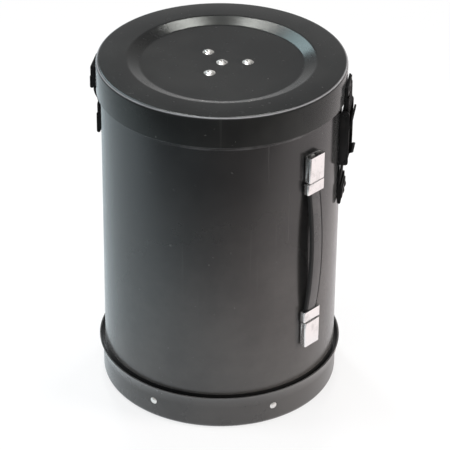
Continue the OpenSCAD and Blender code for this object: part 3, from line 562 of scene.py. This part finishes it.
def strap(name, side, path, width, node=None):
    """A strap along a path of corners in mm: distance out of the tube, height, and the corner's rounding if any."""
    longest, columns = 6, 10
    bm = bmesh.new()
    corners = [bm.verts.new((side * (tube_r + c[0]) * mm, -width / 2 * mm, c[1] * mm)) for c in path]
    for a, b in zip(corners, corners[1:]):
        bm.edges.new((a, b))
    start = corners[0].co.copy()
    for corner, c in zip(corners, path):
        if len(c) > 2:
            bmesh.ops.bevel(bm, geom=[corner], offset=c[2] * mm, offset_type="OFFSET", segments=8, profile=0.5,
                            affect="VERTICES", material=-1)
    bmesh.ops.subdivide_edges(bm, edges=[e for e in bm.edges if e.calc_length() > longest * mm], cuts=4)
    along = {}
    last, here, run = None, min(bm.verts, key=lambda v: (v.co - start).length), 0.0
    while here is not None:
        along[(round(here.co.x, 6), round(here.co.z, 6))] = run
        steps = [e for e in here.link_edges if e is not last]
        if steps:
            last = steps[0]
            run += last.calc_length()
            here = last.other_vert(here)
        else:
            here = None
    edges = bm.edges[:]
    for _ in range(columns):
        grown = bmesh.ops.extrude_edge_only(bm, edges=edges)["geom"]
        edges = [g for g in grown if isinstance(g, bmesh.types.BMEdge)]
        bmesh.ops.translate(bm, verts=[g for g in grown if isinstance(g, bmesh.types.BMVert)],
                            vec=(0, width / columns * mm, 0))
    bmesh.ops.recalc_face_normals(bm, faces=bm.faces)
    weave = bm.loops.layers.uv.new("weave")
    for face in bm.faces:
        for loop in face.loops:
            co = loop.vert.co
            loop[weave].uv = (co.y, along[(round(co.x, 6), round(co.z, 6))])
    made = soft_piece(name, bm, webbing)
    wall = made.modifiers.new("thickness", "SOLIDIFY")
    wall.thickness = web_t * mm
    wall.offset = 0
    rounding = made.modifiers.new("selvedge", "BEVEL")
    rounding.width = 0.6 * mm
    rounding.segments = 2
    rounding.limit_method = "ANGLE"
    rounding.angle_limit = radians(60)
    if node:
        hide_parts(node)
    return made


fold_in, fold_out, fold_rounding = 1.4, 3.7, 1.14
on_lid, web_top = 6.7, 419
hinge_foot = 331.6
hinge = strap("hinge_webbing", -1, [(fold_out, 356), (fold_out, hinge_foot, fold_rounding),
                                    (fold_in, hinge_foot, fold_rounding), (fold_in, 376, 4.6), (on_lid, 386, 4.6),
                                    (on_lid, web_top)], web_w, "hinge_strap")
patch_in, patch_out, patch_foot, patch_top = 8.9, 11.15, 391.15, 405.5
patch = strap("hinge_patch", -1, [(patch_in, web_top), (patch_in, patch_foot, 1.1), (patch_out, patch_foot, 1.1),
                                  (patch_out, patch_top)], web_w - 2)
for sheet in (hinge, patch):
    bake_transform(sheet)
tab_out, loop_out, loop_in = 9.0, 9.9, 3.1
loop_foot, loop_top, loop_rounding, tab_bend = 380.1, 385, 3.39, 391.8
tab = strap("buckle_webbing", 1, [(tab_out, patch_top), (tab_out, tab_bend, 3), (loop_out, loop_top, 1.4),
                                  (loop_out, loop_foot, loop_rounding), (loop_in, loop_foot, loop_rounding),
                                  (loop_in, loop_top, 1.4), (on_lid, tab_bend, 3), (on_lid, web_top)],
            web_w, "buckle_tab")
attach(tab, "lid")
closing_foot, under_cam, tip_out = 261.1, 4.0, 14.5
closing = strap("closing_webbing", 1, [(fold_out, 285.5), (fold_out, closing_foot, fold_rounding),
                                       (fold_in, closing_foot, fold_rounding), (fold_in, 290.6, 8),
                                       (under_cam, 308.8, 8), (under_cam, 345.1, 11), (tip_out, 370.7, 7),
                                       (tip_out, 378)], web_w, "closing_strap")
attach(closing, "case")
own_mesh(closing)

# Stitches: waxed black thread through the doubled ends of the webbing, in rows that hold the folds closed.
# Each stitch lies a little proud of the weave.
thread, tree, shader, place = new_finish("sewing_thread")
twist = add_node(tree, "TexNoise", {"Vector": place, "Scale": 2200, "Detail": 2})
tree.links.new(blend_colour(tree, twist.outputs["Fac"], (0.008, 0.008, 0.008, 1), (0.03, 0.03, 0.031, 1)),
               shader.inputs["Base Color"])
shader.inputs["Roughness"].default_value = 0.5
stitch_l, stitch_step, stitch_w, stitch_t = 3, 4.2, 0.9, 0.5


def stitches(name, side, out, rows, columns):
    """Rows of thread on the face of a strap: rows are heights and columns are half widths, in mm."""
    from_selvedge, from_row = 4, 2
    bm = bmesh.new()
    lengthways = Matrix.Rotation(pi / 2, 3, "X")
    runs = [(Vector((0, 1, 0)), web_w / 2 - from_selvedge, (0, z)) for z in rows]
    runs += [(Vector((0, 0, 1)), (rows[-1] - rows[0]) / 2 - from_row, (y, (rows[0] + rows[-1]) / 2))
             for c in columns for y in (-c, c)]
    for along, reach, (y, z) in runs:
        count = int(2 * reach / stitch_step)
        for i in range(count):
            knot = bmesh.ops.create_uvsphere(bm, u_segments=8, v_segments=6, radius=0.5 * mm)["verts"]
            bmesh.ops.scale(bm, verts=knot, vec=(stitch_t, stitch_w, stitch_l))
            if along.y:
                bmesh.ops.rotate(bm, verts=knot, cent=(0, 0, 0), matrix=lengthways)
            at = Vector((side * (tube_r + out), y, z)) + along * (i - (count - 1) / 2) * stitch_step
            bmesh.ops.translate(bm, verts=knot, vec=at * mm)
    return soft_piece(name, bm, thread)


hinge_foot_sewing = stitches("hinge_foot_stitches", -1, fold_out + web_t / 2, (335, 353), (15,))
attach(hinge_foot_sewing, "case")
patch_sewing = stitches("hinge_patch_stitches", -1, patch_out + web_t / 2, (393.5, 403.5), (14,))
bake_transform(patch_sewing)
tab_sewing = stitches("buckle_stitches", 1, tab_out + web_t / 2, (395, 403.5), (15,))
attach(tab_sewing, "lid")
closing_sewing = stitches("closing_stitches", 1, fold_out + web_t / 2, (263.5, 283.3), ())
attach(closing_sewing, "case")
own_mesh(closing_sewing)

# Plates and buckle: stamped steel, painted black and chipped to bare metal in a few spots.
# The tab's loop turns on the buckle's bar, and the ridged cam bites the strap under the thumb lever.
black_steel, tree, shader, place = new_finish("black_steel")
coat = add_node(tree, "TexNoise", {"Vector": place, "Scale": 70, "Detail": 5})
orange_peel = add_node(tree, "TexNoise", {"Vector": place, "Scale": 1500, "Detail": 2})
fresh_paint, dull_paint, chipped = (0.005, 0.005, 0.0052, 1), (0.012, 0.0118, 0.0115, 1), (0.16, 0.155, 0.15, 1)
paint = blend_colour(tree, spread(tree, coat.outputs["Fac"], 0.4, 0.7, 0, 1), fresh_paint, dull_paint)
paint = blend_colour(tree, spread(tree, coat.outputs["Fac"], 0.71, 0.74, 0, 0.6), paint, chipped)
tree.links.new(paint, shader.inputs["Base Color"])
shader.inputs["Specular IOR Level"].default_value = 0.2
tree.links.new(spread(tree, coat.outputs["Fac"], 0.3, 0.7, 0.32, 0.5), shader.inputs["Roughness"])
bump = add_node(tree, "Bump", {"Height": orange_peel.outputs["Fac"], "Strength": 0.12, "Distance": 0.0001})
tree.links.new(bump.outputs[0], shader.inputs["Normal"])
for name, node, body, width in (
        ("hinge_top_plate", "hinge_upper_plate", "lid", 0.35),
        ("hinge_foot_plate", "hinge_lower_plate", "case", 0.35),
        ("buckle_top_plate", "buckle_tab_plate", "lid", 0.35),
        ("closing_foot_plate", "closing_plate", "case", 0.35),
        ("buckle_channel", "buckle_frame", "buckle", 0.4),
        ("buckle_cross_bar", "buckle_bar", "buckle", 0.4),
        ("cam_axle", "cam_pin", "buckle", 0.4),
        ("thumb_lever", "cam_lever", "lever", 0.3)):
    eased(name, node, body, black_steel, "black_steel", width)
rivet_pitch = 16
buckle_side, hinge_side = 0, 180
for name, nodes, body, angle, out, z, grip in (
        ("buckle_top_rivets", ["lid_strap_rivets"], "lid", buckle_side, 9.3, 413, 6.74),
        ("hinge_top_rivets", [], "lid", hinge_side, 11.5, 413, 8.94),
        ("hinge_foot_rivets", ["hinge_rivets"], "case", hinge_side, 4, 364, 7.16),
        ("closing_foot_rivets", ["closing_rivets"], "case", buckle_side, 6.3, 273.5, 9.46)):
    pair = [round_case(angle, tube_r + out, z, sideways) for sideways in (-rivet_pitch / 2, rivet_pitch / 2)]
    rivets(name, nodes, body, black_steel, "black_steel", pair, small_rivet, grip)
